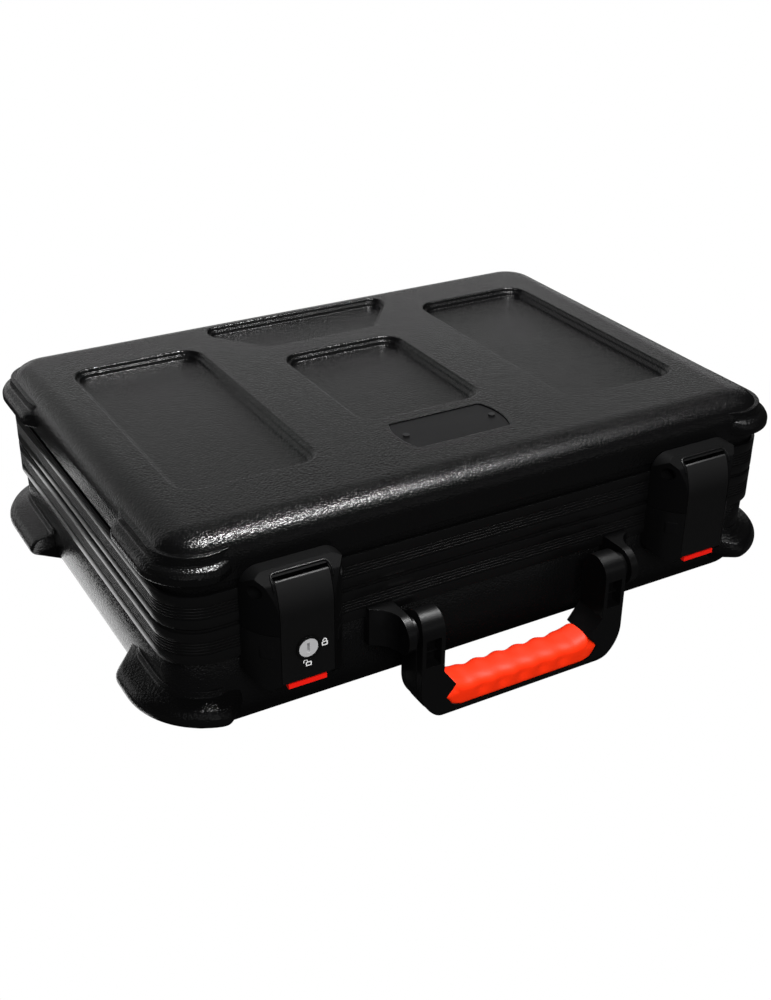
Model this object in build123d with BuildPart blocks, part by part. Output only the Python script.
from build123d import *
import math
import os

# Guitar pedal case lying flat, lid up, latches and handle towards -Y.
# The origin is on the ground under the middle of the case, and +Z is up.

# Case, measured over the outer faces of the two ribbed edge extrusions
case_width = 486.0
case_depth = 342.0
corner_radius = 30.0
split_height = 105.0
lid_rise = 61.0
foot_height = 16.0
split_gap = 0.3
boss_overlap = 0.5
cut_overrun = 1.0

# Moulded shells
shell_wall = 3.6
shell_inset = 2.5
base_draft = 1.2
base_edge_radius = 24.0
lid_brow_inset = 0.5
lid_brow_height = 31.0
lid_edge_radius = 17.0

# Ribbed edge extrusion, one on the base and its mirror image on the lid
valance_height = 25.0
valance_wall = 2.1
valance_web = 5.4
valance_lip_inset = 2.0
joint_groove_height = 3.0
rib_count = 4
rib_pitch = 2.2
rib_width = 1.2
rib_band_depth = 0.7
rib_band_margin = 0.6
rib_band_centre = 13.1
clamp_flange_wall = 1.6
clamp_flange_height = 17.0
shell_clearance = 0.3
tongue_width = 1.6
tongue_length = 2.0
tongue_clearance = 0.6
tongue_inset = 4.6
tongue_end_clearance = 0.5

# Corner bumpers moulded on the base: a flat ledge above, a sloping underside
base_bumper_reach = 15.0
base_bumper_corner = 60.0
base_bumper_drop = 48.0
base_bumper_band = 12.0
base_bumper_underside = 14.0
base_bumper_edge = 4.0
front_leg_outer = 31.0
front_leg_inner = 46.0
side_leg_outer = 60.0
side_leg_inner = 86.0
rear_side_leg = 93.0

# Corner bumpers moulded on the lid: a flat underside, a sloping ledge above
lid_bumper_reach = 7.5
lid_bumper_corner = 37.5
lid_bumper_rise = 36.5
lid_bumper_band = 9.0
lid_bumper_slope = 5.5
lid_bumper_land = 3.0
lid_leg_outer = 32.0
lid_leg_inner = 46.0
lid_side_leg_outer = 77.0
lid_side_leg_inner = 88.0

# Recessed panels in the lid's top
panel_depth = 6.0
panel_step = 3.0
panel_ledge = 1.8
panel_wall_angle = 25.0
side_panel_width = 103.0
side_panel_length = 221.0
side_panel_x = 153.5
side_panel_y = 7.5
panel_corner = 16.0
middle_panel_width = 102.0
middle_panel_length = 137.0
middle_panel_y = 1.5
back_panel_front_width = 97.0
back_panel_back_width = 165.0
back_panel_front_y = 92.0
back_panel_back_y = 152.0
back_panel_shoulder = 2.5
back_panel_shoulder_y = 133.0
back_panel_corner = 11.0
panel_boss_margin = 2.0

# Badge plate, left bare
badge_width = 83.0
badge_length = 41.0
badge_bow = 4.5
badge_corner = 2.5
badge_thickness = 1.2
badge_pocket_depth = 2.0
badge_clearance = 0.5
badge_y = -99.0
badge_screw_spacing = 71.0
badge_screw_head = 5.0
badge_screw_shank = 2.4
badge_screw_length = 5.5
badge_screw_head_height = 1.2
badge_boss_depth = 5.0
badge_boss_diameter = 9.0

# Latches
latch_spacing = 323.0
latch_width = 71.0
latch_top = 38.5
latch_bottom = 44.0
latch_corner = 13.0
latch_depth = 24.0
latch_toe = 4.0
latch_sink = 5.0
latch_back_plate = 3.2
wing_middle = 28.8
wing_middle_depth = 14.5
frame_bottom = -2.2
keeper_top = -2.8
frame_relief = 0.5
channel_width = 37.8
lever_clearance = 0.4
lever_thickness = 3.0
lever_side_wall = 2.0
side_wall_shoulder = 2.0
side_wall_waist = 4.5
side_wall_waist_drop = 5.0
side_wall_foot_depth = 13.8
side_wall_foot_rise = -20.0
side_wall_toe_rise = -18.0
lever_bottom = -41.0
lever_toe = 2.0
lever_bend_start = 8.0
lever_top = 32.5
lever_top_depth = 18.0
bridge_depth = 10.0
bridge_bottom = 35.2
pivot_depth = 12.5
pivot_rise = 27.0
pivot_pin_diameter = 4.0
pivot_lug_radius = 5.0
pivot_lug_width = 4.0
pivot_seat = 5.0
pivot_access_diameter = 9.0
running_clearance = 0.05
strike_diameter = 4.0
strike_rise = -31.0
strike_depth = 10.0
strike_seat = 5.0
release_width = 27.0
release_top = -41.4
release_bottom = -44.8
release_front = 22.6
release_thickness = 4.0
release_stem_width = 20.0
release_stem_height = 7.0
release_stem_thickness = 2.0
release_gap = 0.3
hook_plate = 2.0
hook_width = 28.0
hook_lip_rise = -28.4
hook_top_rise = -11.0
hook_lip_depth = 7.0
spring_wire = 1.2
spring_radius = 2.75
spring_turns = 8
spring_pitch = 1.6
latch_screw_x = 8.0
latch_screw_rise = 12.0
latch_screw_head = 8.0
latch_screw_head_height = 2.0
latch_screw_shank = 4.0
screw_cross_length = 4.8
screw_cross_width = 1.1
screw_cross_depth = 1.4
latch_nut = 8.0
latch_nut_height = 1.5

# Key cylinder in the left lever
lock_rise = -16.3
lock_diameter = 13.4
lock_ring_diameter = 17.0
lock_ring_height = 1.0
lock_face_height = 0.6
lock_plug_length = 13.0
lock_housing_depth = 8.0
lock_housing_diameter = 17.4
keyway_width = 1.6
keyway_height = 7.0
keyway_depth = 6.0
cam_width = 7.0
cam_reach = 9.0
cam_thickness = 2.5

# Handle, hanging plumb from two brackets on the base's front wall
handle_width = 167.0
handle_arm_width = 17.6
handle_thickness = 27.0
handle_pivot_out = 20.5
handle_pivot_drop = 31.0
handle_drop = 101.6
handle_corner = 29.0
handle_rail = 7.2
handle_edge = 7.0
handle_shoulder_drop = 62.0
arm_pocket_width = 11.5
arm_pocket_top = 33.5
arm_pocket_bottom = 54.8
arm_pocket_depth = 9.0
arm_ledge_drop = 45.5
arm_ledge_height = 1.2
arm_ledge_sink = 5.5
grip_top_inset = 10.0
grip_top_drop = 75.5
grip_waist_inset = 2.5
grip_waist_drop = 84.5
grip_cheek_inset = 8.0
grip_cheek_drop = 92.0
grip_foot_inset = 14.0
grip_middle_inset = 20.0
grip_middle_drop = 78.3
grip_edge = 8.0
grip_end_edge = 1.5
grip_wave_count = 6
grip_wave_depth = 2.2
grip_wave_radius = 13.0
grip_ripple_depth = 0.9
grip_ripple_radius = 30.0
grip_ripple_foot = 2.0
grip_core_height = 9.0
grip_core_thickness = 11.0
handle_pin_diameter = 8.0
handle_pin_seat = 9.0
handle_pin_end_gap = 0.5
bracket_nose_width = 6.0
bracket_nose_gap = 4.4
bracket_root_width = 20.0
bracket_root_overlap = 1.0
bracket_root_thickness = 4.0
bracket_flare = 3.0
bracket_flare_depth = 12.0
bracket_screw_head_height = 2.0
bracket_nose_radius = 14.0
bracket_top_drop = 17.5
bracket_bottom_drop = 46.0
bracket_skin = 1.0
bracket_screw_spacing = 10.0
bracket_screw_drop = 36.0
bracket_screw_x = 98.0
bracket_screw_head = 7.0
bracket_screw_reach = 7.0
bracket_screw_gap = 0.1
spacer_diameter = 19.0
spacer_gap = 0.2

# Hinges at the back
hinge_spacing = 300.0
hinge_width = 70.0
hinge_leaf_low = 3.0
hinge_leaf_height = 19.5
hinge_leaf_thickness = 2.0
hinge_pin_diameter = 4.0
hinge_knuckle_diameter = 9.0
hinge_axis_out = 5.5
hinge_knuckle_gap = 0.4
hinge_rivet_spacing = 44.0
hinge_pin_head = 6.5
hinge_pin_end = 1.5
hinge_pin_gap = 0.1
rivet_head = 7.0
rivet_head_height = 1.5
rivet_shank = 4.0

# Rivets that clamp each shell in its extrusion, seen only from inside
clamp_rivets_long = 4
clamp_rivets_short = 3
clamp_rivet_rise = 12.5

# Foam and feet
foam_inset = 10.5
foam_floor_inset = 18.0
foam_wall = 18.0
foam_pocket_corner = 12.0
foam_clearance = 0.2
foam_top_drop = 2.0
foam_lid_thickness = 20.0
foam_pad_thickness = 10.0
foot_diameter = 38.0
foot_taper = 5.0
foot_inset = 70.0
foot_recess_diameter = 16.0
foot_recess_depth = 10.0
foot_screw_head = 11.0
foot_screw_shank = 5.0
foot_screw_head_height = 3.0
foot_screw_skin = 0.6

front_face = -case_depth / 2
arm_inner = handle_width / 2 - handle_arm_width
back_face = case_depth / 2
shell_bottom = foot_height
lid_top = split_height + lid_rise
groove_half = joint_groove_height / 2
rim_height = valance_web + shell_clearance
base_rim_z = split_height - rim_height
lid_rim_z = split_height + rim_height
hinge_axis_y = back_face + hinge_axis_out
hinge_leaf_middle = hinge_leaf_low + hinge_leaf_height / 2
flange_inset = shell_inset + shell_wall + shell_clearance
clamp_depth = flange_inset + clamp_flange_wall


def rounded_slab(inset, low, high, taper=0.0):
    """A slab with the case's rounded outline, inset from the extrusion's face, from its high side down."""
    with BuildPart() as slab:
        with BuildSketch(Plane.XY.offset(high)):
            RectangleRounded(case_width - 2 * inset, case_depth - 2 * inset, corner_radius - inset)
        extrude(amount=low - high, taper=taper)
    return slab.part


def at_corners():
    """The four corners of the case as (x sign, y sign)."""
    return [(-1, -1), (1, -1), (-1, 1), (1, 1)]


def bumper_region(front_outer, front_inner, side_outer, side_inner, reach):
    """Outline that cuts a bumper's two legs from the band round the front left corner."""
    left = -case_width / 2
    far = reach * 3
    hidden = shell_wall + corner_radius
    return [
        (left - far, front_face - far),
        (left + front_outer, front_face - far),
        (left + front_outer, front_face - reach),
        (left + front_inner, front_face + shell_inset),
        (left + front_inner, front_face + hidden),
        (left + hidden, front_face + side_inner),
        (left + shell_inset, front_face + side_inner),
        (left - reach, front_face + side_outer),
        (left - far, front_face + side_outer),
    ]


def corner_band(points, reach, corner, height, amount, taper=0.0):
    """The part of a band round the case, reach outside it, that lies inside the given outline."""
    with BuildPart() as band:
        with BuildSketch(Plane.XY.offset(height)):
            with BuildLine():
                Polyline(points, close=True)
            make_face()
            RectangleRounded(case_width + 2 * reach, case_depth + 2 * reach, corner, mode=Mode.INTERSECT)
        extrude(amount=amount, taper=taper)
    return band.part


def base_bumper(side_outer, side_inner):
    """One bumper of the base, drawn at the front left corner."""
    ledge = split_height - base_bumper_drop
    points = bumper_region(front_leg_outer, front_leg_inner, side_outer, side_inner, base_bumper_reach)
    with BuildPart() as bumper:
        low = ledge - base_bumper_band
        add(corner_band(points, base_bumper_reach, base_bumper_corner, low, base_bumper_band))
        fillet(bumper.faces().sort_by(Axis.Z)[-1].edges(), radius=base_bumper_edge)
        slope = math.degrees(math.atan2(base_bumper_reach - shell_inset, base_bumper_underside))
        add(corner_band(points, base_bumper_reach, base_bumper_corner, low, -base_bumper_underside, slope))
    return bumper.part


def lid_bumper():
    """One bumper of the lid, drawn at the front left corner."""
    underside = split_height + lid_bumper_rise
    points = bumper_region(
        lid_leg_outer, lid_leg_inner, lid_side_leg_outer, lid_side_leg_inner, lid_bumper_reach
    )
    with BuildPart() as bumper:
        add(corner_band(points, lid_bumper_reach, lid_bumper_corner, underside, lid_bumper_band))
        slope = math.degrees(math.atan2(lid_bumper_reach + lid_bumper_land, lid_bumper_slope))
        top = underside + lid_bumper_band
        add(corner_band(points, lid_bumper_reach, lid_bumper_corner, top, lid_bumper_slope, slope))
    return bumper.part


def mirrored(shape, x_side, y_side):
    """The shape, drawn at the front left corner, at the corner with these signs."""
    placed = shape
    if x_side > 0:
        placed = placed.mirror(Plane.YZ)
    if y_side > 0:
        placed = placed.mirror(Plane.XZ)
    return placed


def clamp_rivet_places():
    """Each rivet through the clamping flange: its x, y and the turn of its axis about Z."""
    places = []
    x_step = (case_width - 4 * corner_radius) / (clamp_rivets_long - 1)
    y_step = (case_depth - 4 * corner_radius) / (clamp_rivets_short - 1)
    for number in range(clamp_rivets_long):
        x = -case_width / 2 + 2 * corner_radius + number * x_step
        places.append((x, front_face + clamp_depth, 90))
        places.append((x, back_face - clamp_depth, -90))
    for number in range(clamp_rivets_short):
        y = front_face + 2 * corner_radius + number * y_step
        places.append((-case_width / 2 + clamp_depth, y, 0))
        places.append((case_width / 2 - clamp_depth, y, 180))
    return places


def clamp_rivet_planes(side):
    """Planes on the inner flange face, looking into the case, on the base (-1) or the lid (+1)."""
    height = split_height + side * clamp_rivet_rise
    planes = []
    for x, y, turn in clamp_rivet_places():
        direction = (math.cos(math.radians(turn)), math.sin(math.radians(turn)), 0)
        planes.append(Plane(origin=(x, y, height), z_dir=direction))
    return planes


def clamp_rivet_set(side):
    """All clamping rivets of one half: a low head inside, and a shank into the shell."""
    shank = clamp_flange_wall + shell_clearance + shell_wall
    with BuildPart() as rivets:
        for plane in clamp_rivet_planes(side):
            with BuildSketch(plane):
                Circle(rivet_head / 2)
            extrude(amount=rivet_head_height)
            with BuildSketch(plane):
                Circle(rivet_shank / 2)
            extrude(amount=-shank)
    return rivets.part


def clamp_rivet_holes(side):
    """Clearance holes for the clamping rivets, through flange and shell."""
    shank = clamp_flange_wall + shell_clearance + shell_wall + shell_clearance
    with BuildPart() as holes:
        for plane in clamp_rivet_planes(side):
            with BuildSketch(plane):
                Circle(rivet_shank / 2 + running_clearance)
            extrude(amount=-shank)
    return holes.part


def valance_profile():
    """Half section of the extrusion: inset from its outer face, and distance from the split."""
    groove = rib_band_depth
    outline = [(valance_lip_inset, split_gap / 2), (valance_lip_inset, groove_half), (0, groove_half)]
    band_half = (rib_count - 1) * rib_pitch / 2 + rib_width / 2 + rib_band_margin
    outline += [(0, rib_band_centre - band_half), (groove, rib_band_centre - band_half)]
    for number in range(rib_count):
        centre = rib_band_centre + (number - (rib_count - 1) / 2) * rib_pitch
        outline += [(groove, centre - rib_width / 2), (0, centre - rib_width / 4)]
        outline += [(0, centre + rib_width / 4), (groove, centre + rib_width / 2)]
    outline += [(groove, rib_band_centre + band_half), (0, rib_band_centre + band_half)]
    outline += [(0, valance_height), (valance_wall, valance_height), (valance_wall, valance_web)]
    outline += [(flange_inset, valance_web), (flange_inset, clamp_flange_height)]
    outline += [(clamp_depth, clamp_flange_height), (clamp_depth, split_gap / 2)]
    return outline


def valance_ring(side):
    """The extrusion bent round the case, on the base (-1) or the lid (+1)."""
    with BuildPart() as ring:
        with BuildLine(Plane.XY.offset(split_height)) as path:
            x = case_width / 2 - corner_radius
            y = case_depth / 2 - corner_radius
            Line((0, front_face), (x, front_face))
            CenterArc((x, -y), corner_radius, -90, 90)
            Line((case_width / 2, -y), (case_width / 2, y))
            CenterArc((x, y), corner_radius, 0, 90)
            Line((x, back_face), (-x, back_face))
            CenterArc((-x, y), corner_radius, 90, 90)
            Line((-case_width / 2, y), (-case_width / 2, -y))
            CenterArc((-x, -y), corner_radius, 180, 90)
            Line((-x, front_face), (0, front_face))
        with BuildSketch(Plane.YZ):
            with BuildLine():
                Polyline(
                    [(front_face + inset, split_height + side * rise) for inset, rise in valance_profile()],
                    close=True,
                )
            make_face()
        sweep(path=path.line)
    return ring.part


def tongue_ring(width, low, high):
    """A thin upright ring where the lid's tongue enters the base's groove."""
    with BuildPart() as ring:
        centre = tongue_inset + tongue_width / 2
        with BuildSketch(Plane.XY.offset(low)):
            outer = centre - width / 2
            inner = centre + width / 2
            RectangleRounded(case_width - 2 * outer, case_depth - 2 * outer, corner_radius - outer)
            RectangleRounded(
                case_width - 2 * inner, case_depth - 2 * inner, corner_radius - inner, mode=Mode.SUBTRACT
            )
        extrude(amount=high - low)
    return ring.part


def latch_sides():
    """The two latches as a name and the x of its middle."""
    return [("left", -latch_spacing / 2), ("right", latch_spacing / 2)]


def hinge_sides():
    """The two hinges as a name and the x of its middle."""
    return [("left", -hinge_spacing / 2), ("right", hinge_spacing / 2)]


def handle_sides():
    """The two ends of the handle as a name and its x sign."""
    return [("left", -1), ("right", 1)]


def x_rod(x, y, z, diameter, length):
    """A round rod along X, centred on a point."""
    with BuildPart() as rod:
        with BuildSketch(Plane(origin=(x - length / 2, y, z), z_dir=(1, 0, 0))):
            Circle(diameter / 2)
        extrude(amount=length)
    return rod.part


def outward_rod(x, z, diameter, inner, outer):
    """A round rod along the latch's outward direction, between two distances from the extrusion's face."""
    with BuildPart() as rod:
        with BuildSketch(Plane(origin=(x, front_face - inner, z), z_dir=(0, -1, 0))):
            Circle(diameter / 2)
        extrude(amount=outer - inner)
    return rod.part


def front_box(x, width, inner, outer, low, high):
    """A block in front of the case: inner and outer are distances from the extrusion's face."""
    with BuildPart() as block:
        with Locations((x, front_face - (inner + outer) / 2, (low + high) / 2)):
            Box(width, outer - inner, high - low)
    return block.part


def side_view(x, width, outline):
    """A block whose side view is drawn as (distance outward, height above the split)."""
    with BuildPart() as block:
        with BuildSketch(Plane(origin=(x - width / 2, 0, 0), x_dir=(0, 1, 0), z_dir=(1, 0, 0))):
            with BuildLine():
                Polyline([(front_face - out, split_height + rise) for out, rise in outline], close=True)
            make_face()
        extrude(amount=width)
    return block.part


def lever_arc(offset=0.0):
    """The lever's curved upper front, moved in by an offset: top, middle and foot of the arc."""
    drop = lever_top - lever_bend_start
    set_back = latch_depth - lever_top_depth
    bend_radius = (drop ** 2 + set_back ** 2) / (2 * set_back)
    sweep_angle = math.asin(drop / bend_radius)
    points = []
    for angle in (sweep_angle, sweep_angle / 2, 0):
        out = latch_depth - bend_radius + (bend_radius - offset) * math.cos(angle)
        points.append((out, lever_bend_start + (bend_radius - offset) * math.sin(angle)))
    return points


def latch_side_plane(x):
    """Side view of a latch: local X runs outward from the extrusion's face, local Y up from the split."""
    return Plane(origin=(x, front_face, split_height), x_dir=(0, -1, 0), z_dir=(-1, 0, 0))


def latch_block(x):
    """The whole housing of a latch, both halves as one, cut from its front view, plan and side view."""
    edge = latch_width / 2
    seam = channel_width / 2
    with BuildPart() as block:
        back = front_face + latch_sink
        with BuildSketch(Plane(origin=(x, back, split_height), x_dir=(1, 0, 0), z_dir=(0, -1, 0))):
            with Locations((0, (latch_top - latch_bottom) / 2)):
                RectangleRounded(latch_width, latch_top + latch_bottom, latch_corner)
        extrude(amount=latch_sink + latch_depth)
        with BuildSketch(Plane(origin=(x, front_face, split_height))):
            with BuildLine():
                Line((-seam, -latch_depth), (seam, -latch_depth))
                ThreePointArc((seam, -latch_depth), (wing_middle, -wing_middle_depth), (edge, 0))
                Polyline([(edge, 0), (edge, latch_sink), (-edge, latch_sink), (-edge, 0)])
                ThreePointArc((-edge, 0), (-wing_middle, -wing_middle_depth), (-seam, -latch_depth))
            make_face()
        extrude(amount=latch_top + latch_bottom, both=True, mode=Mode.INTERSECT)
        with BuildSketch(latch_side_plane(x)):
            top, middle, foot = lever_arc()
            with BuildLine():
                Polyline([
                    foot, (latch_depth, latch_toe - latch_bottom), (latch_depth - latch_toe, -latch_bottom),
                    (-latch_sink, -latch_bottom), (-latch_sink, latch_top), (bridge_depth, latch_top), top,
                ])
                ThreePointArc(top, middle, foot)
            make_face()
        extrude(amount=latch_width, both=True, mode=Mode.INTERSECT)
    return block.part


def latch_channel(x):
    """The space in a latch housing that its lever fills."""
    low = split_height - 2 * latch_bottom
    return front_box(x, channel_width, latch_back_plate, 2 * latch_depth, low, split_height + bridge_bottom)


def case_block():
    """Base and lid as solid blocks, to cut the seats of what is fixed on them."""
    with BuildPart() as block:
        add(rounded_slab(0, split_height - valance_height, split_height + valance_height))
        add(base_block())
        add(rounded_slab(shell_inset, split_height, split_height + lid_brow_height))
        add(rounded_slab(lid_brow_inset, split_height + lid_brow_height, lid_top))
    return block.part


def base_block():
    """The base shell's outside as a solid block, without its bumpers."""
    with BuildPart() as block:
        add(rounded_slab(shell_inset, shell_bottom, base_rim_z, base_draft))
        fillet(block.faces().sort_by(Axis.Z)[0].edges(), radius=base_edge_radius)
    return block.part


def base_cavity():
    """The space inside the base shell."""
    inset = shell_inset + shell_wall
    with BuildPart() as cavity:
        add(rounded_slab(inset, shell_bottom + shell_wall, base_rim_z + cut_overrun, base_draft))
        fillet(cavity.faces().sort_by(Axis.Z)[0].edges(), radius=base_edge_radius - shell_wall)
    return cavity.part


def lid_block():
    """The lid shell's outside as a solid block, without its bumpers."""
    brow = split_height + lid_brow_height
    with BuildPart() as block:
        add(rounded_slab(lid_brow_inset, brow, lid_top))
        fillet(block.faces().sort_by(Axis.Z)[-1].edges(), radius=lid_edge_radius)
        add(rounded_slab(shell_inset, lid_rim_z, brow))
    return block.part


def lid_cavity():
    """The space inside the lid shell."""
    brow = split_height + lid_brow_height + shell_wall
    with BuildPart() as cavity:
        add(rounded_slab(lid_brow_inset + shell_wall, brow, lid_top - shell_wall))
        fillet(cavity.faces().sort_by(Axis.Z)[-1].edges(), radius=lid_edge_radius - shell_wall)
        add(rounded_slab(shell_inset + shell_wall, lid_rim_z - cut_overrun, brow))
    return cavity.part


def badge_outline(grow=0.0):
    """The badge's outline about its own middle: straight long edges and bowed ends."""
    half = badge_width / 2 - badge_bow + grow
    side = badge_length / 2 + grow
    with BuildSketch() as outline:
        with BuildLine():
            Line((-half, -side), (half, -side))
            ThreePointArc((half, -side), (badge_width / 2 + grow, 0), (half, side))
            Line((half, side), (-half, side))
            ThreePointArc((-half, side), (-badge_width / 2 - grow, 0), (-half, -side))
        make_face()
        fillet(outline.vertices(), radius=badge_corner)
    return outline.sketch


def panel_outlines():
    """Outlines of the four recessed panels, in plan."""
    with BuildSketch() as sides:
        with Locations((-side_panel_x, side_panel_y), (side_panel_x, side_panel_y)):
            RectangleRounded(side_panel_width, side_panel_length, panel_corner)
    with BuildSketch() as middle:
        with Locations((0, middle_panel_y)):
            RectangleRounded(middle_panel_width, middle_panel_length, panel_corner)
    front_x = back_panel_front_width / 2
    back_x = back_panel_back_width / 2
    with BuildSketch() as back:
        with BuildLine():
            Polyline([
                (-front_x, back_panel_front_y), (front_x, back_panel_front_y),
                (back_x - back_panel_shoulder, back_panel_shoulder_y), (back_x, back_panel_back_y),
                (-back_x, back_panel_back_y), (back_panel_shoulder - back_x, back_panel_shoulder_y),
            ], close=True)
        make_face()
        fillet(back.vertices(), radius=back_panel_corner)
    return sides.sketch.faces() + middle.sketch.faces() + back.sketch.faces()


def panel_cut(face):
    """One recess: a sloping wall, a narrow step and a second sloping wall down to its floor."""
    run = panel_step * math.tan(math.radians(panel_wall_angle))
    with BuildPart() as cut:
        with BuildSketch(Plane.XY.offset(lid_top)):
            add(face)
        extrude(amount=-panel_step, taper=panel_wall_angle)
        with BuildSketch(Plane.XY.offset(lid_top - panel_step)):
            add(face)
            offset(amount=-(run + panel_ledge))
        extrude(amount=panel_step - panel_depth, taper=panel_wall_angle)
    return cut.part


def hinge_knuckle(x, width):
    """One knuckle of a hinge, solid."""
    return x_rod(x, hinge_axis_y, split_height, hinge_knuckle_diameter, width)


def hinge_leaf(x, side):
    """A hinge leaf on the base (-1) or the lid (+1), with its knuckles and rivet holes."""
    third = hinge_width / 3
    middle = split_height + side * hinge_leaf_middle
    with BuildPart() as leaf:
        with Locations((x, back_face + hinge_leaf_thickness / 2, middle)):
            Box(hinge_width, hinge_leaf_thickness, hinge_leaf_height)
        knuckles = [(x - third, third), (x + third, third)]
        if side > 0:
            knuckles = [(x, third - 2 * hinge_knuckle_gap)]
        for centre, width in knuckles:
            add(hinge_knuckle(centre, width))
            web_height = hinge_knuckle_diameter / 2
            with Locations((centre, back_face + hinge_axis_out / 2, split_height + side * web_height / 2)):
                Box(width, hinge_axis_out, web_height)
        others = [(x - third, third + 2 * hinge_knuckle_gap), (x + third, third + 2 * hinge_knuckle_gap)]
        if side < 0:
            others = [(x, third)]
        for centre, width in others:
            hole = hinge_knuckle_diameter + 2 * hinge_knuckle_gap
            add(x_rod(centre, hinge_axis_y, split_height, hole, width), mode=Mode.SUBTRACT)
        pin_hole = hinge_pin_diameter + 2 * running_clearance
        add(x_rod(x, hinge_axis_y, split_height, pin_hole, 2 * hinge_width), mode=Mode.SUBTRACT)
        face = (x, back_face + hinge_leaf_thickness, middle)
        with BuildSketch(Plane(origin=face, x_dir=(1, 0, 0), z_dir=(0, 1, 0))):
            with GridLocations(hinge_rivet_spacing, 1, 2, 1):
                Circle(rivet_shank / 2 + running_clearance)
        extrude(amount=-2 * hinge_leaf_thickness, mode=Mode.SUBTRACT)
    return leaf.part


def outer_handle_plane():
    """Front view of the handle through its pivot: local Y is the height above the split."""
    return Plane(origin=(0, front_face - handle_pivot_out, split_height), x_dir=(1, 0, 0), z_dir=(0, -1, 0))


def opening_points():
    """Outline of the handle's opening and of the grip's seat, in the handle's front view."""
    half = [
        (arm_inner, 0), (arm_inner, -handle_shoulder_drop), (arm_inner - grip_top_inset, -grip_top_drop),
        (arm_inner - grip_waist_inset, -grip_waist_drop), (arm_inner - grip_cheek_inset, -grip_cheek_drop),
        (arm_inner - grip_foot_inset, handle_rail - handle_drop),
    ]
    return half + [(-x, y) for x, y in reversed(half)]


def grip_section(drop, edge):
    """The grip cut across: its top at this distance below the split, its upper edges rounded."""
    height = handle_drop - handle_rail - drop
    with BuildSketch() as section:
        with Locations((front_face - handle_pivot_out, split_height - drop - height / 2)):
            Rectangle(handle_thickness, height)
        fillet(section.vertices().group_by(Axis.Y)[-1], radius=edge)
    return section.sketch


def screw_through(x, rise):
    """A latch screw from the latch's back plate through edge extrusion and shell, with its nut inside."""
    height = split_height + rise
    head_top = latch_back_plate + latch_screw_head_height
    with BuildPart() as screw:
        add(outward_rod(x, height, latch_screw_head, latch_back_plate, head_top))
        add(outward_rod(x, height, latch_screw_shank, -clamp_depth - latch_nut_height, latch_back_plate))
        with BuildSketch(Plane(origin=(x, front_face + clamp_depth, height), z_dir=(0, 1, 0))):
            RegularPolygon(latch_nut / 2, 6)
        extrude(amount=latch_nut_height)
        with BuildSketch(Plane(origin=(x, front_face - head_top, height), z_dir=(0, 1, 0))):
            Rectangle(screw_cross_length, screw_cross_width)
            Rectangle(screw_cross_width, screw_cross_length)
        extrude(amount=screw_cross_depth, mode=Mode.SUBTRACT)
    return screw.part


def latch_screw_places(side):
    """The latch screws on the base (-1) or the lid (+1) as (x, rise)."""
    return [
        (middle + offset_x, side * latch_screw_rise)
        for _, middle in latch_sides()
        for offset_x in (-latch_screw_x, latch_screw_x)
    ]


def latch_screw_holes(side):
    """Clearance holes for the latch screws through plate, extrusion and shell."""
    with BuildPart() as holes:
        for x, rise in latch_screw_places(side):
            diameter = latch_screw_shank + 2 * running_clearance
            add(outward_rod(x, split_height + rise, diameter, -clamp_depth, latch_back_plate))
    return holes.part


def hinge_rivet_set(side):
    """The hinge rivets on the base (-1) or the lid (+1), headed on both sides."""
    height = split_height + side * hinge_leaf_middle
    with BuildPart() as rivets:
        for _, middle in hinge_sides():
            for offset_x in (-hinge_rivet_spacing / 2, hinge_rivet_spacing / 2):
                x = middle + offset_x
                face = Plane(origin=(x, back_face + hinge_leaf_thickness, height), z_dir=(0, 1, 0))
                with BuildSketch(face):
                    Circle(rivet_head / 2)
                extrude(amount=rivet_head_height)
                with BuildSketch(face):
                    Circle(rivet_shank / 2)
                extrude(amount=-hinge_leaf_thickness - clamp_depth - rivet_head_height)
                tail = Plane(origin=(x, back_face - clamp_depth, height), z_dir=(0, -1, 0))
                with BuildSketch(tail):
                    Circle(rivet_head / 2)
                extrude(amount=rivet_head_height)
    return rivets.part


def hinge_rivet_holes(side):
    """Clearance holes for the hinge rivets, through extrusion and shell."""
    height = split_height + side * hinge_leaf_middle
    with BuildPart() as holes:
        for _, middle in hinge_sides():
            outside = (middle, back_face + cut_overrun, height)
            with BuildSketch(Plane(origin=outside, x_dir=(1, 0, 0), z_dir=(0, -1, 0))):
                with GridLocations(hinge_rivet_spacing, 1, 2, 1):
                    Circle(rivet_shank / 2 + running_clearance)
            extrude(amount=clamp_depth + cut_overrun)
    return holes.part


def bracket_screw_places():
    """Each handle bracket screw as its x, its height and the inset of the shell's inner face there."""
    places = []
    for _, side in handle_sides():
        for step in (-0.5, 0.5):
            drop = bracket_screw_drop + step * bracket_screw_spacing
            inset = shell_inset + shell_wall + (drop - rim_height) * math.tan(math.radians(base_draft))
            places.append((side * bracket_screw_x, split_height - drop, inset + bracket_screw_gap))
    return places


def foot_places():
    """The four feet as a name and a place in plan."""
    x = case_width / 2 - foot_inset
    y = case_depth / 2 - foot_inset
    return [("front_left", -x, -y), ("front_right", x, -y), ("back_left", -x, y), ("back_right", x, y)]


def up_rod(x, y, low, high, diameter):
    """A round rod along Z."""
    with BuildPart() as rod:
        with BuildSketch(Plane.XY.offset(low)):
            with Locations((x, y)):
                Circle(diameter / 2)
        extrude(amount=high - low)
    return rod.part


os.makedirs("parts", exist_ok=True)

base_bumpers = [
    mirrored(base_bumper(side_leg_outer if y_side < 0 else rear_side_leg, side_leg_inner), x_side, y_side)
    for x_side, y_side in at_corners()
]
lid_bumpers = [mirrored(lid_bumper(), x_side, y_side) for x_side, y_side in at_corners()]
solid_case = case_block()

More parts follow.
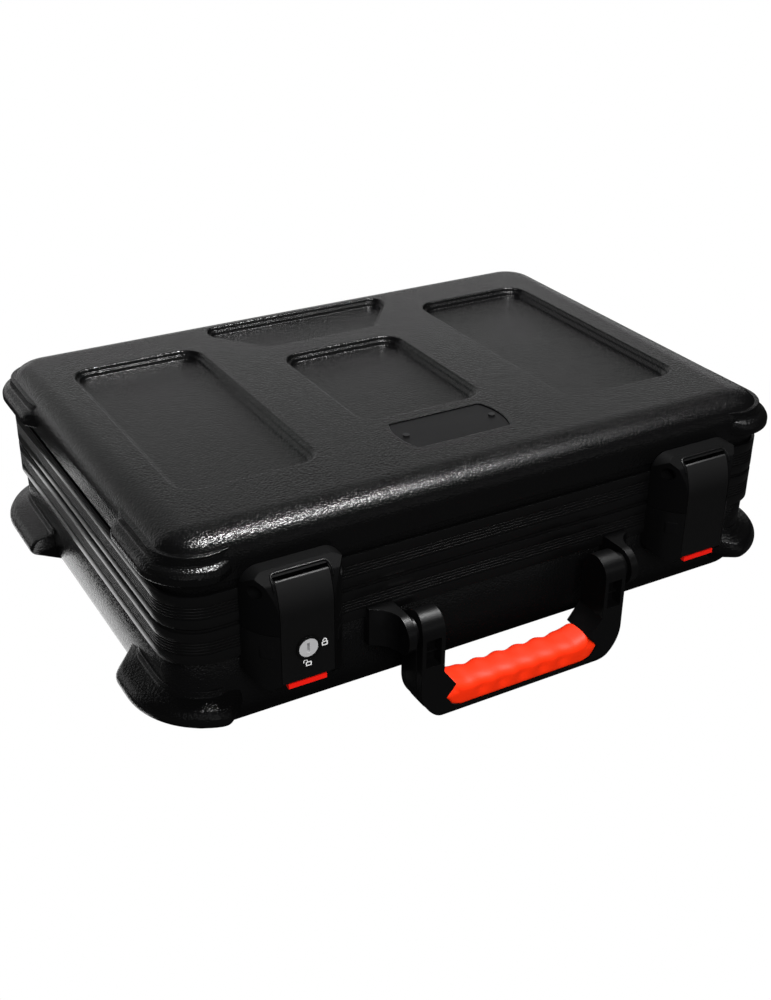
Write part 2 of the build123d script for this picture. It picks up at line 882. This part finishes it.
# Base
with BuildPart() as base_shell:
    add(base_block())
    add(base_bumpers)
    add(base_cavity(), mode=Mode.SUBTRACT)
    add(clamp_rivet_holes(-1), mode=Mode.SUBTRACT)
    add(latch_screw_holes(-1), mode=Mode.SUBTRACT)
    add(hinge_rivet_holes(-1), mode=Mode.SUBTRACT)
    for x, height, inset in bracket_screw_places():
        hole = rivet_shank + 2 * running_clearance
        add(outward_rod(x, height, hole, -inset - cut_overrun, 0), mode=Mode.SUBTRACT)
    for _, x, y in foot_places():
        top = shell_bottom + shell_wall - foot_screw_skin
        add(up_rod(x, y, shell_bottom - cut_overrun, top, foot_screw_shank), mode=Mode.SUBTRACT)
base_shell.part.label = "base_shell"
export_step(base_shell.part, "parts/base_shell.step")

with BuildPart() as base_valance:
    add(valance_ring(-1))
    groove = tongue_ring(tongue_width + tongue_clearance, split_height - tongue_length - tongue_end_clearance,
                        split_height)
    add(groove, mode=Mode.SUBTRACT)
    add(clamp_rivet_holes(-1), mode=Mode.SUBTRACT)
    add(latch_screw_holes(-1), mode=Mode.SUBTRACT)
    add(hinge_rivet_holes(-1), mode=Mode.SUBTRACT)
base_valance.part.label = "base_valance"
export_step(base_valance.part, "parts/base_valance.step")

with BuildPart() as base_valance_rivets:
    add(clamp_rivet_set(-1))
base_valance_rivets.part.label = "base_valance_rivets"
export_step(base_valance_rivets.part, "parts/base_valance_rivets.step")

# Lid
with BuildPart() as lid_shell:
    add(lid_block())
    add(lid_bumpers)
    add(lid_cavity(), mode=Mode.SUBTRACT)
    for face in panel_outlines():
        with BuildSketch(Plane.XY.offset(lid_top - shell_wall + boss_overlap)):
            add(face)
            offset(amount=panel_boss_margin)
        extrude(amount=-panel_depth - boss_overlap)
    for x in (-badge_screw_spacing / 2, badge_screw_spacing / 2):
        ceiling = lid_top - shell_wall
        add(up_rod(x, badge_y, ceiling - badge_boss_depth, ceiling + boss_overlap, badge_boss_diameter))
    with BuildSketch(Plane.XY.offset(lid_top - badge_pocket_depth - shell_wall)):
        with Locations((0, badge_y)):
            add(badge_outline(badge_clearance + panel_boss_margin))
    extrude(amount=shell_wall)
    for face in panel_outlines():
        add(panel_cut(face), mode=Mode.SUBTRACT)
    with BuildSketch(Plane.XY.offset(lid_top - badge_pocket_depth)):
        with Locations((0, badge_y)):
            add(badge_outline(badge_clearance))
    extrude(amount=2 * badge_pocket_depth, mode=Mode.SUBTRACT)
    for x in (-badge_screw_spacing / 2, badge_screw_spacing / 2):
        foot = lid_top - badge_pocket_depth + badge_thickness - badge_screw_length
        add(up_rod(x, badge_y, foot, lid_top, badge_screw_shank), mode=Mode.SUBTRACT)
    add(clamp_rivet_holes(1), mode=Mode.SUBTRACT)
    add(latch_screw_holes(1), mode=Mode.SUBTRACT)
    add(hinge_rivet_holes(1), mode=Mode.SUBTRACT)
lid_shell.part.label = "lid_shell"
export_step(lid_shell.part, "parts/lid_shell.step")

with BuildPart() as lid_valance:
    add(valance_ring(1))
    add(tongue_ring(tongue_width, split_height - tongue_length, split_height + groove_half))
    add(clamp_rivet_holes(1), mode=Mode.SUBTRACT)
    add(latch_screw_holes(1), mode=Mode.SUBTRACT)
    add(hinge_rivet_holes(1), mode=Mode.SUBTRACT)
lid_valance.part.label = "lid_valance"
export_step(lid_valance.part, "parts/lid_valance.step")

with BuildPart() as lid_valance_rivets:
    add(clamp_rivet_set(1))
lid_valance_rivets.part.label = "lid_valance_rivets"
export_step(lid_valance_rivets.part, "parts/lid_valance_rivets.step")

with BuildPart() as badge_plate:
    with BuildSketch(Plane.XY.offset(lid_top - badge_pocket_depth)):
        with Locations((0, badge_y)):
            add(badge_outline())
    extrude(amount=badge_thickness)
    for x in (-badge_screw_spacing / 2, badge_screw_spacing / 2):
        hole = badge_screw_shank + 2 * running_clearance
        add(up_rod(x, badge_y, lid_top - 2 * badge_pocket_depth, lid_top, hole), mode=Mode.SUBTRACT)
badge_plate.part.label = "badge_plate"
export_step(badge_plate.part, "parts/badge_plate.step")

with BuildPart() as badge_screws:
    for x in (-badge_screw_spacing / 2, badge_screw_spacing / 2):
        seat = lid_top - badge_pocket_depth + badge_thickness
        add(up_rod(x, badge_y, seat, seat + badge_screw_head_height, badge_screw_head))
        add(up_rod(x, badge_y, seat - badge_screw_length, seat, badge_screw_shank))
badge_screws.part.label = "badge_screws"
export_step(badge_screws.part, "parts/badge_screws.step")

# Foam lining
foam_floor_z = shell_bottom + shell_wall + foam_clearance
with BuildPart() as foam_floor:
    add(rounded_slab(foam_floor_inset, foam_floor_z, foam_floor_z + foam_pad_thickness))
    fillet(foam_floor.faces().sort_by(Axis.Z)[0].edges(), radius=foam_pad_thickness - 1)
foam_floor.part.label = "foam_floor"
export_step(foam_floor.part, "parts/foam_floor.step")

with BuildPart() as foam_frame:
    low = foam_floor_z + foam_pad_thickness
    high = split_height - foam_top_drop
    pocket_inset = foam_inset + foam_wall
    add(rounded_slab(foam_inset, low, high))
    with BuildSketch(Plane.XY.offset(low)):
        RectangleRounded(case_width - 2 * pocket_inset, case_depth - 2 * pocket_inset, foam_pocket_corner)
    extrude(amount=high - low, mode=Mode.SUBTRACT)
foam_frame.part.label = "foam_frame"
export_step(foam_frame.part, "parts/foam_frame.step")

with BuildPart() as foam_lid:
    high = lid_top - shell_wall - panel_depth - foam_clearance
    add(rounded_slab(foam_inset, high - foam_lid_thickness, high))
foam_lid.part.label = "foam_lid"
export_step(foam_lid.part, "parts/foam_lid.step")

# Hinges
for name, x in hinge_sides():
    with BuildPart() as hinge_base_leaf:
        add(hinge_leaf(x, -1))
    hinge_base_leaf.part.label = f"hinge_base_leaf_{name}"
    export_step(hinge_base_leaf.part, f"parts/hinge_base_leaf_{name}.step")

    with BuildPart() as hinge_lid_leaf:
        add(hinge_leaf(x, 1))
    hinge_lid_leaf.part.label = f"hinge_lid_leaf_{name}"
    export_step(hinge_lid_leaf.part, f"parts/hinge_lid_leaf_{name}.step")

    with BuildPart() as hinge_pin:
        add(x_rod(x, hinge_axis_y, split_height, hinge_pin_diameter, hinge_width + 2 * hinge_pin_end))
        for end in (-1, 1):
            head_x = x + end * (hinge_width / 2 + hinge_pin_end / 2 + hinge_pin_gap)
            add(x_rod(head_x, hinge_axis_y, split_height, hinge_pin_head, hinge_pin_end))
    hinge_pin.part.label = f"hinge_pin_{name}"
    export_step(hinge_pin.part, f"parts/hinge_pin_{name}.step")

with BuildPart() as hinge_rivets_base:
    add(hinge_rivet_set(-1))
hinge_rivets_base.part.label = "hinge_rivets_base"
export_step(hinge_rivets_base.part, "parts/hinge_rivets_base.step")

with BuildPart() as hinge_rivets_lid:
    add(hinge_rivet_set(1))
hinge_rivets_lid.part.label = "hinge_rivets_lid"
export_step(hinge_rivets_lid.part, "parts/hinge_rivets_lid.step")

# Latches
lug_x = (channel_width - pivot_lug_width) / 2 - lever_clearance
for name, x in latch_sides():
    pivot_y = front_face - pivot_depth
    pivot_z = split_height + pivot_rise
    with BuildPart() as latch_frame:
        add(latch_block(x))
        add(front_box(x, 2 * latch_width, -2 * latch_depth, 2 * latch_depth,
                      split_height - 2 * latch_bottom, split_height + frame_bottom), mode=Mode.SUBTRACT)
        add(front_box(x, 2 * latch_width, -2 * latch_depth, 0,
                      split_height - 2 * latch_bottom, lid_top), mode=Mode.SUBTRACT)
        add(front_box(x, 2 * latch_width, -latch_depth, frame_relief,
                      split_height - latch_bottom, split_height + groove_half), mode=Mode.SUBTRACT)
        add(latch_channel(x), mode=Mode.SUBTRACT)
        add(x_rod(x, pivot_y, pivot_z, pivot_pin_diameter, latch_width), mode=Mode.SUBTRACT)
        for end in (-1, 1):
            access = x + end * (channel_width / 2 + pivot_seat + latch_width / 2)
            add(x_rod(access, pivot_y, pivot_z, pivot_access_diameter, latch_width), mode=Mode.SUBTRACT)
        for screw_x, rise in latch_screw_places(1):
            if abs(screw_x - x) < latch_width:
                hole = latch_screw_shank + 2 * running_clearance
                add(outward_rod(screw_x, split_height + rise, hole, 0, latch_back_plate), mode=Mode.SUBTRACT)
    latch_frame.part.label = f"latch_frame_{name}"
    export_step(latch_frame.part, f"parts/latch_frame_{name}.step")

    with BuildPart() as latch_keeper:
        add(latch_block(x))
        add(front_box(x, 2 * latch_width, -2 * latch_depth, 2 * latch_depth,
                      split_height + keeper_top, lid_top), mode=Mode.SUBTRACT)
        add(solid_case, mode=Mode.SUBTRACT)
        add(latch_channel(x), mode=Mode.SUBTRACT)
        add(x_rod(x, front_face - strike_depth, split_height + strike_rise, strike_diameter,
                  channel_width + 2 * strike_seat), mode=Mode.SUBTRACT)
        for screw_x, rise in latch_screw_places(-1):
            if abs(screw_x - x) < latch_width:
                hole = latch_screw_shank + 2 * running_clearance
                add(outward_rod(screw_x, split_height + rise, hole, 0, latch_back_plate), mode=Mode.SUBTRACT)
    latch_keeper.part.label = f"latch_keeper_{name}"
    export_step(latch_keeper.part, f"parts/latch_keeper_{name}.step")

    with BuildPart() as latch_strike:
        add(x_rod(x, front_face - strike_depth, split_height + strike_rise, strike_diameter,
                  channel_width + 2 * strike_seat))
    latch_strike.part.label = f"latch_strike_{name}"
    export_step(latch_strike.part, f"parts/latch_strike_{name}.step")

    with BuildPart() as latch_pivot_pin:
        add(x_rod(x, pivot_y, pivot_z, pivot_pin_diameter, channel_width + 2 * pivot_seat))
    latch_pivot_pin.part.label = f"latch_pivot_pin_{name}"
    export_step(latch_pivot_pin.part, f"parts/latch_pivot_pin_{name}.step")

    spring_length = spring_pitch * spring_turns
    with BuildPart() as latch_spring:
        with BuildLine() as coil:
            Helix(
                pitch=spring_pitch, height=spring_length, radius=spring_radius,
                center=(x - spring_length / 2, pivot_y, pivot_z), direction=(1, 0, 0),
            )
        with BuildSketch(Plane(origin=coil.line @ 0, z_dir=coil.line % 0)):
            Circle(spring_wire / 2)
        sweep(path=coil.line, is_frenet=True)
    latch_spring.part.label = f"latch_spring_{name}"
    export_step(latch_spring.part, f"parts/latch_spring_{name}.step")

    with BuildPart() as latch_lever:
        with BuildSketch(latch_side_plane(x)):
            top, middle, foot = lever_arc()
            inner_top, inner_middle, inner_foot = lever_arc(lever_thickness)
            with BuildLine():
                ThreePointArc(top, middle, foot)
                Polyline([
                    foot, (latch_depth, lever_bottom + lever_toe), (latch_depth - lever_toe, lever_bottom),
                    (latch_depth - lever_thickness, lever_bottom), inner_foot,
                ])
                ThreePointArc(inner_foot, inner_middle, inner_top)
                Line(inner_top, top)
            make_face()
        extrude(amount=channel_width / 2 - lever_clearance, both=True)
        for end in (-1, 1):
            wall_x = x + end * (channel_width / 2 - lever_clearance - lever_side_wall / 2)
            with BuildSketch(latch_side_plane(wall_x)):
                with BuildLine():
                    Polyline([
                        (latch_depth - lever_thickness / 2, lever_bottom + lever_toe),
                        (latch_depth - lever_thickness / 2, lever_bend_start),
                        (latch_depth - lever_thickness, pivot_rise - side_wall_shoulder),
                        (pivot_depth, pivot_rise),
                        (pivot_depth - side_wall_waist, pivot_rise - side_wall_waist_drop),
                        (hook_lip_depth, side_wall_toe_rise), (side_wall_foot_depth, side_wall_foot_rise),
                        (side_wall_foot_depth, lever_bottom + lever_toe),
                    ], close=True)
                make_face()
            extrude(amount=lever_side_wall / 2, both=True)
            add(x_rod(x + end * lug_x, pivot_y, pivot_z, 2 * pivot_lug_radius, pivot_lug_width))
        if name == "left":
            face_depth = latch_depth - lever_thickness
            housing_back = face_depth - lock_housing_depth
            add(outward_rod(x, split_height + lock_rise, lock_housing_diameter, housing_back, face_depth))
            bore = lock_diameter + 2 * running_clearance
            add(outward_rod(x, split_height + lock_rise, bore, 0, 2 * latch_depth), mode=Mode.SUBTRACT)
        pin_hole = pivot_pin_diameter + 2 * running_clearance
        add(x_rod(x, pivot_y, pivot_z, pin_hole, latch_width), mode=Mode.SUBTRACT)
    latch_lever.part.label = f"latch_lever_{name}"
    export_step(latch_lever.part, f"parts/latch_lever_{name}.step")

    with BuildPart() as latch_hook:
        back = latch_depth - lever_thickness
        add(front_box(x, hook_width, back - hook_plate, back, split_height + hook_lip_rise,
                      split_height + hook_top_rise))
        add(front_box(x, hook_width, hook_lip_depth, back, split_height + hook_lip_rise,
                      split_height + hook_lip_rise + hook_plate))
        hole = lock_housing_diameter + 2 * release_gap
        add(outward_rod(x, split_height + lock_rise, hole, hook_lip_depth, latch_depth), mode=Mode.SUBTRACT)
    latch_hook.part.label = f"latch_hook_{name}"
    export_step(latch_hook.part, f"parts/latch_hook_{name}.step")

    with BuildPart() as latch_release:
        add(front_box(x, release_width, release_front - release_thickness, release_front,
                      split_height + release_bottom, split_height + release_top))
        stem_front = latch_depth - lever_thickness - release_gap
        add(front_box(x, release_stem_width, stem_front - release_stem_thickness, stem_front,
                      split_height + release_top, split_height + release_top + release_stem_height))
    latch_release.part.label = f"latch_release_{name}"
    export_step(latch_release.part, f"parts/latch_release_{name}.step")

with BuildPart() as latch_frame_screws:
    for x, rise in latch_screw_places(1):
        add(screw_through(x, rise))
latch_frame_screws.part.label = "latch_frame_screws"
export_step(latch_frame_screws.part, "parts/latch_frame_screws.step")

with BuildPart() as latch_keeper_screws:
    for x, rise in latch_screw_places(-1):
        add(screw_through(x, rise))
latch_keeper_screws.part.label = "latch_keeper_screws"
export_step(latch_keeper_screws.part, "parts/latch_keeper_screws.step")

# Key cylinder
lock_x = -latch_spacing / 2
lock_z = split_height + lock_rise
with BuildPart() as lock_ring:
    add(outward_rod(lock_x, lock_z, lock_ring_diameter, latch_depth, latch_depth + lock_ring_height))
    hole = lock_diameter + 2 * running_clearance
    add(outward_rod(lock_x, lock_z, hole, latch_depth, latch_depth + lock_ring_height), mode=Mode.SUBTRACT)
lock_ring.part.label = "lock_ring"
export_step(lock_ring.part, "parts/lock_ring.step")

with BuildPart() as lock_cylinder:
    lock_face = latch_depth + lock_face_height
    add(outward_rod(lock_x, lock_z, lock_diameter, lock_face - lock_plug_length, lock_face))
    add(front_box(lock_x, keyway_width, lock_face - keyway_depth, lock_face,
                  lock_z - keyway_height / 2, lock_z + keyway_height / 2), mode=Mode.SUBTRACT)
lock_cylinder.part.label = "lock_cylinder"
export_step(lock_cylinder.part, "parts/lock_cylinder.step")

with BuildPart() as lock_cam:
    cam_front = lock_face - lock_plug_length
    add(outward_rod(lock_x, lock_z, cam_width, cam_front - cam_thickness, cam_front))
    add(front_box(lock_x, cam_width, cam_front - cam_thickness, cam_front, lock_z - cam_reach, lock_z))
lock_cam.part.label = "lock_cam"
export_step(lock_cam.part, "parts/lock_cam.step")

# Handle
half_width = handle_width / 2
handle_z = split_height - handle_pivot_drop
handle_y = front_face - handle_pivot_out
with BuildPart() as handle_frame:
    with BuildSketch(outer_handle_plane()) as front_view:
        with BuildLine():
            Polyline([
                (-half_width, 0), (-half_width, -handle_drop), (half_width, -handle_drop), (half_width, 0),
            ], close=True)
        make_face()
        fillet(front_view.vertices().group_by(Axis.Z)[0], radius=handle_corner)
    extrude(amount=handle_thickness / 2, both=True)
    with BuildSketch(Plane.YZ.offset(-half_width)) as side_profile:
        with Locations((handle_y, handle_z)):
            Circle(handle_thickness / 2)
        foot_z = split_height - handle_drop
        with Locations((handle_y, (handle_z + foot_z) / 2)):
            Rectangle(handle_thickness, handle_z - foot_z)
        fillet(side_profile.vertices().group_by(Axis.Z)[0], radius=handle_edge)
    extrude(amount=handle_width, mode=Mode.INTERSECT)
    with BuildSketch(outer_handle_plane()):
        with BuildLine():
            Polyline(opening_points(), close=True)
        make_face()
    extrude(amount=handle_thickness, both=True, mode=Mode.SUBTRACT)
    with Locations((0, handle_y, split_height - grip_waist_drop)):
        Box(2 * arm_inner, grip_core_thickness, grip_core_height)
    for _, side in handle_sides():
        pocket_x = side * (half_width - handle_arm_width / 2)
        pocket_front = handle_pivot_out + handle_thickness / 2
        pocket_back = pocket_front - arm_pocket_depth
        add(front_box(pocket_x, arm_pocket_width, pocket_back, pocket_front + cut_overrun,
                      split_height - arm_pocket_bottom, split_height - arm_pocket_top), mode=Mode.SUBTRACT)
        ledge_front = pocket_front - arm_ledge_sink
        ledge_top = split_height - arm_ledge_drop
        ledge_foot = ledge_top - arm_ledge_height
        add(front_box(pocket_x, arm_pocket_width, pocket_back, ledge_front, ledge_foot, ledge_top))
        hole = handle_pin_diameter + 2 * running_clearance
        bore_x = side * (half_width - handle_pin_seat / 2)
        add(x_rod(bore_x, handle_y, handle_z, hole, handle_pin_seat), mode=Mode.SUBTRACT)
handle_frame.part.label = "handle_frame"
export_step(handle_frame.part, "parts/handle_frame.step")

with BuildPart() as handle_grip:
    foot_z = split_height - handle_drop + handle_rail
    middle_half = arm_inner - grip_middle_inset
    top_half = arm_inner - grip_top_inset
    for side in (-1, 1):
        with BuildSketch(Plane.YZ.offset(side * middle_half)):
            add(grip_section(grip_middle_drop, grip_edge))
        with BuildSketch(Plane.YZ.offset(side * top_half)):
            add(grip_section(grip_top_drop, grip_end_edge))
        loft(ruled=True)
        with BuildSketch(Plane.YZ.offset(side * top_half)):
            add(grip_section(grip_top_drop, grip_end_edge))
        extrude(amount=side * handle_arm_width)
    with BuildSketch(Plane.YZ.offset(-middle_half)):
        add(grip_section(grip_middle_drop, grip_edge))
    extrude(amount=2 * middle_half)
    with BuildSketch(outer_handle_plane()):
        with BuildLine():
            Polyline(opening_points(), close=True)
        make_face()
    extrude(amount=handle_thickness, both=True, mode=Mode.INTERSECT)
    with Locations((0, handle_y, split_height - grip_waist_drop)):
        Box(handle_width, grip_core_thickness, grip_core_height, mode=Mode.SUBTRACT)
    wave_pitch = (middle_half + top_half) / grip_wave_count
    back_edge_y = handle_y + handle_thickness / 2
    back_edge_z = split_height - grip_middle_drop
    step = (grip_wave_radius - grip_wave_depth - grip_edge * (math.sqrt(2) - 1)) / math.sqrt(2)
    for number in range(1, grip_wave_count):
        wave_x = wave_pitch * (number - grip_wave_count / 2)
        with BuildSketch(Plane(origin=(wave_x, back_edge_y + step, back_edge_z + step), z_dir=(0, 1, -1))):
            Circle(grip_wave_radius)
        extrude(amount=handle_thickness, both=True, mode=Mode.SUBTRACT)
        ripple_y = handle_y - handle_thickness / 2 - grip_ripple_radius + grip_ripple_depth
        with BuildSketch(Plane.XY.offset(foot_z + grip_ripple_foot)):
            with Locations((wave_x, ripple_y)):
                Circle(grip_ripple_radius)
        extrude(amount=handle_thickness, mode=Mode.SUBTRACT)
handle_grip.part.label = "handle_grip"
export_step(handle_grip.part, "parts/handle_grip.step")

pin_inner = half_width - handle_pin_seat + handle_pin_end_gap
nose_inner = half_width + bracket_nose_gap
nose_outer = nose_inner + bracket_nose_width
for name, side in handle_sides():
    with BuildPart() as handle_bracket:
        root_x = side * (nose_inner + bracket_root_width - bracket_root_overlap)
        front_reach = handle_pivot_out + bracket_nose_radius
        with BuildSketch(Plane(origin=(0, front_face, split_height))):
            with BuildLine():
                Polyline([
                    (side * nose_outer, -front_reach), (side * nose_inner, -front_reach),
                    (side * nose_inner, latch_sink), (root_x, latch_sink), (root_x, -bracket_root_thickness),
                ])
                ThreePointArc(
                    (root_x, -bracket_root_thickness),
                    (side * (nose_outer + bracket_flare), -bracket_flare_depth),
                    (side * nose_outer, -handle_pivot_out),
                )
                Line((side * nose_outer, -handle_pivot_out), (side * nose_outer, -front_reach))
            make_face()
        extrude(amount=-handle_drop)
        with BuildSketch(Plane.YZ.offset(-case_width / 2)):
            with Locations((handle_y, handle_z)):
                Circle(bracket_nose_radius)
            with BuildLine():
                Polyline([
                    (front_face + latch_sink, split_height - bracket_top_drop),
                    (handle_y, handle_z + bracket_nose_radius), (handle_y, handle_z - bracket_nose_radius),
                    (front_face + latch_sink, split_height - bracket_bottom_drop),
                ], close=True)
            make_face()
        extrude(amount=case_width, mode=Mode.INTERSECT)
        add(solid_case, mode=Mode.SUBTRACT)
        seat = nose_outer - bracket_skin - nose_inner
        seat_x = side * (nose_inner + seat / 2)
        add(x_rod(seat_x, handle_y, handle_z, handle_pin_diameter, seat), mode=Mode.SUBTRACT)
        for x, height, _ in bracket_screw_places():
            if x * side > 0:
                add(outward_rod(x, height, rivet_shank, -latch_sink, bracket_screw_reach), mode=Mode.SUBTRACT)
    handle_bracket.part.label = f"handle_bracket_{name}"
    export_step(handle_bracket.part, f"parts/handle_bracket_{name}.step")

    with BuildPart() as handle_pin:
        length = nose_outer - bracket_skin - pin_inner
        add(x_rod(side * (pin_inner + length / 2), handle_y, handle_z, handle_pin_diameter, length))
    handle_pin.part.label = f"handle_pin_{name}"
    export_step(handle_pin.part, f"parts/handle_pin_{name}.step")

    with BuildPart() as handle_spacer:
        length = bracket_nose_gap - spacer_gap
        centre = side * (nose_inner - length / 2)
        add(x_rod(centre, handle_y, handle_z, spacer_diameter, length))
        hole = handle_pin_diameter + 2 * running_clearance
        add(x_rod(centre, handle_y, handle_z, hole, length), mode=Mode.SUBTRACT)
    handle_spacer.part.label = f"handle_spacer_{name}"
    export_step(handle_spacer.part, f"parts/handle_spacer_{name}.step")

with BuildPart() as handle_bracket_screws:
    for x, height, inset in bracket_screw_places():
        add(outward_rod(x, height, bracket_screw_head, -inset - bracket_screw_head_height, -inset))
        add(outward_rod(x, height, rivet_shank, -inset, bracket_screw_reach))
handle_bracket_screws.part.label = "handle_bracket_screws"
export_step(handle_bracket_screws.part, "parts/handle_bracket_screws.step")

# Feet
for name, x, y in foot_places():
    with BuildPart() as foot:
        with BuildSketch(Plane.XY.offset(shell_bottom)):
            with Locations((x, y)):
                Circle((foot_diameter - foot_taper) / 2)
        with BuildSketch(Plane.XY):
            with Locations((x, y)):
                Circle(foot_diameter / 2)
        loft()
        add(up_rod(x, y, 0, foot_recess_depth, foot_recess_diameter), mode=Mode.SUBTRACT)
        hole = foot_screw_shank + 2 * running_clearance
        add(up_rod(x, y, 0, shell_bottom, hole), mode=Mode.SUBTRACT)
    foot.part.label = f"foot_{name}"
    export_step(foot.part, f"parts/foot_{name}.step")

with BuildPart() as foot_screws:
    for _, x, y in foot_places():
        add(up_rod(x, y, foot_recess_depth - foot_screw_head_height, foot_recess_depth, foot_screw_head))
        top = shell_bottom + shell_wall - foot_screw_skin
        add(up_rod(x, y, foot_recess_depth, top, foot_screw_shank))
foot_screws.part.label = "foot_screws"
export_step(foot_screws.part, "parts/foot_screws.step")
